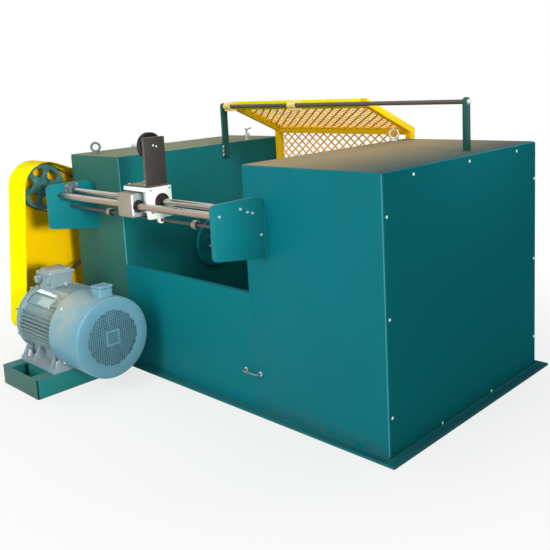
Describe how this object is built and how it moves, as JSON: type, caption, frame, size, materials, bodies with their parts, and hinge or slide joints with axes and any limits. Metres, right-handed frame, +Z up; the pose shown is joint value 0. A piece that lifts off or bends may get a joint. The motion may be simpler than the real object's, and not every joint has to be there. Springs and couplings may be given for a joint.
{
  "type": "wire drawing line spooler",
  "caption": "Sheet-steel wire take-up spooler with an open spool bay, a rolling-ring traverse across the front, a belt guard, a foot-mounted drive motor and a hinged mesh cover.",
  "frame": {"origin": "on the floor, at the front left lower corner of the left housing, on the underside of the base plate", "axes": "+X to the right along the machine's front, +Y to the back, +Z up"},
  "size_m": [2.515, 1.943, 1.433],
  "materials": {
    "teal_paint": "semi-gloss enamel",
    "black_paint": "satin black",
    "yellow_paint": "gloss enamel",
    "white_paint": "satin",
    "ground_steel": "ground",
    "motor_paint": "semi-gloss enamel on cast iron",
    "cowl_paint": "semi-gloss enamel on sheet",
    "chromed_steel": "polished",
    "cast_grey": "grey, lightly oiled",
    "black_plastic": "matt",
    "green_paint": "dark green enamel",
    "zinc_steel": "zinc plated",
    "belt_rubber": "matt",
    "grey_paint": "flat grey primer"
  },
  "bodies": {
    "machine": {"base_plate": "teal_paint", "bay_back_panel": "teal_paint", "bay_front_panel": "teal_paint", "belt_guard": "yellow_paint", "end_panel": "teal_paint", "end_shield": "motor_paint", "fan_box": "cowl_paint", "fan_cowl": "cowl_paint", "front_handle": "chromed_steel", "guide_rod": "ground_steel", "left_cover_post": "green_paint", "left_housing": "teal_paint", "left_lifting_eye": "zinc_steel", "left_shaft_bearing": "cast_grey", "left_traverse_bracket": "teal_paint", "main_belt": "belt_rubber", "motor_base_cross": "teal_paint", "motor_base_front": "teal_paint", "motor_base_left": "teal_paint", "motor_base_right": "teal_paint", "motor_feet": "motor_paint", "motor_frame": "motor_paint", "pivot_rod": "grey_paint", "right_cover_post": "green_paint", "right_housing": "teal_paint", "right_lifting_eye": "zinc_steel", "right_shaft_bearing": "cast_grey", "right_traverse_bracket": "teal_paint", "stop_collars": "ground_steel", "stop_rod": "ground_steel", "tail_centre": "ground_steel", "tail_sleeve": "teal_paint", "terminal_box": "motor_paint", "terminal_lid": "motor_paint", "traverse_belt": "belt_rubber"},
    "spindle": {"spindle_shaft": "ground_steel", "face_plate": "teal_paint", "drive_centre": "ground_steel", "spindle_pulley": "teal_paint"},
    "motor_rotor": {"motor_shaft": "ground_steel", "motor_pulley": "cast_grey"},
    "traverse_drive": {"traverse_shaft": "chromed_steel", "traverse_pulley": "teal_paint"},
    "carriage": {"carriage_block": "white_paint", "guide_housing": "cast_grey", "bearing_rings": "black_paint", "trip_plate": "white_paint", "wire_guide_column": "black_paint"},
    "guide_wheel": {"guide_wheel": "black_plastic"},
    "mesh_cover": {"cover_frame": "yellow_paint", "cover_top_mesh": "yellow_paint", "cover_back_mesh": "yellow_paint", "cover_lugs": "yellow_paint"}
  },
  "joints": [
    {"name": "spindle_spin", "type": "hinge", "parent": "machine", "child": "spindle", "pos_m": [0, 0.64, 0.59], "axis": [1, 0, 0], "continuous": true},
    {"name": "motor_spin", "type": "hinge", "parent": "machine", "child": "motor_rotor", "pos_m": [0, -0.313, 0.305], "axis": [1, 0, 0], "continuous": true},
    {"name": "traverse_spin", "type": "hinge", "parent": "machine", "child": "traverse_drive", "pos_m": [0, -0.157, 1.003], "axis": [1, 0, 0], "continuous": true},
    {"name": "carriage_slide", "type": "slide", "parent": "machine", "child": "carriage", "axis": [1, 0, 0], "range_m": [-0.398, 0.237]},
    {"name": "guide_wheel_spin", "type": "hinge", "parent": "carriage", "child": "guide_wheel", "pos_m": [1.01, -0.164, 1.27], "axis": [1, 0, 0], "continuous": true},
    {"name": "cover_hinge", "type": "hinge", "parent": "machine", "child": "mesh_cover", "pos_m": [0.495, 0.782, 1.405], "axis": [1, 0, 0], "range_deg": [0, 135]}
  ],
  "couplings": [
    {"joint": "motor_spin", "follows": "spindle_spin", "ratio": 4.4444},
    {"joint": "traverse_spin", "follows": "spindle_spin", "ratio": 0.4275}
  ]
}
